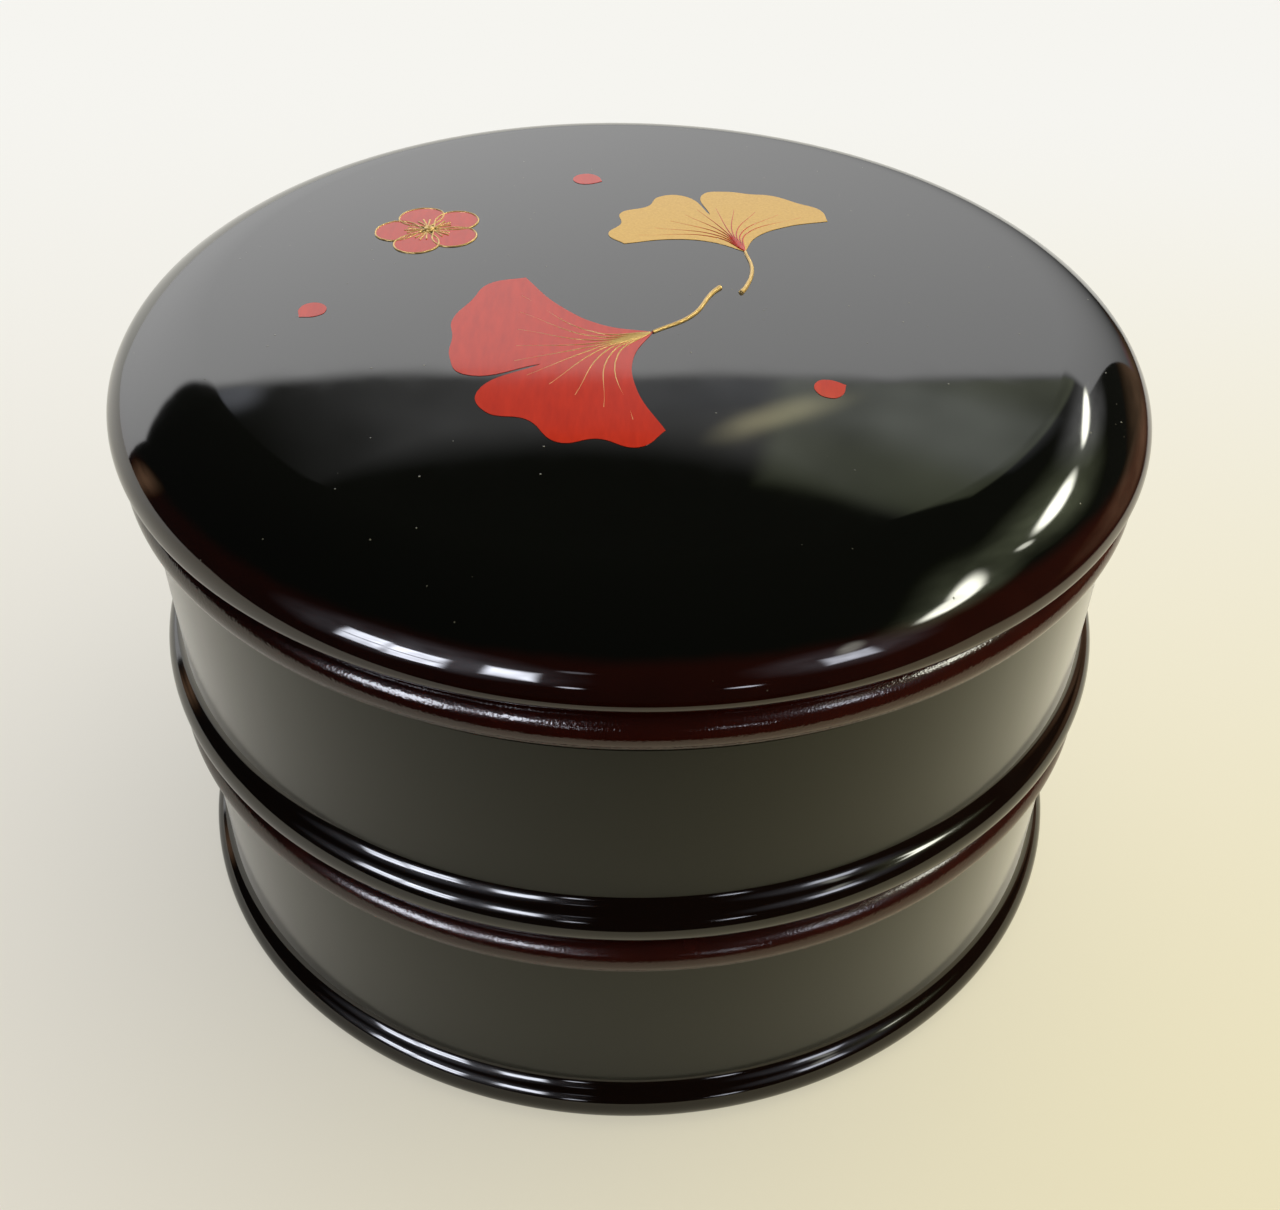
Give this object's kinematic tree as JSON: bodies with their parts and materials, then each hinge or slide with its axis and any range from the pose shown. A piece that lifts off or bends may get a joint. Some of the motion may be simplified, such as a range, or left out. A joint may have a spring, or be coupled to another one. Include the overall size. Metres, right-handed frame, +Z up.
{
  "type": "stacking lacquer box",
  "caption": "Round stacking lacquer food box with bead-rimmed tiers that key into each other and a low domed lid with a bullnose edge.",
  "frame": {"origin": "centre of the resting plane under the lower foot ring", "axes": "+Z up along the box's axis, out through the lid; the box is round, so +X and +Y are free, with -Y towards the viewer of the picture"},
  "size_m": [0.1974, 0.1974, 0.1328],
  "materials": {
    "black_gloss_lacquer": "polished black lacquer over wood",
    "black_satin_lacquer": "brushed black lacquer over wood, a little softer than polished",
    "maroon_lacquer": "glossy see-through brown-red lacquer that fades into black",
    "inner_lacquer": "vermilion lacquer, soft gloss"
  },
  "bodies": {
    "lower_tier": {"lower_foot_ring": "black_gloss_lacquer", "lower_floor_board": "inner_lacquer", "lower_wall_hoop": "black_satin_lacquer", "lower_rim_ring": "maroon_lacquer", "lower_lip_ring": "inner_lacquer"},
    "upper_tier": {"upper_foot_ring": "black_gloss_lacquer", "upper_floor_board": "inner_lacquer", "upper_wall_hoop": "black_satin_lacquer", "upper_rim_ring": "maroon_lacquer", "upper_lip_ring": "inner_lacquer"},
    "lid": {"lid_rim_hoop": "maroon_lacquer", "lid_crown": "black_gloss_lacquer"}
  },
  "joints": [
    {"name": "upper_tier_lift", "type": "slide", "parent": "lower_tier", "child": "upper_tier", "axis": [0, 0, 1], "range_m": [0, 0.09]},
    {"name": "lid_lift", "type": "slide", "parent": "upper_tier", "child": "lid", "axis": [0, 0, 1], "range_m": [0, 0.09]}
  ]
}
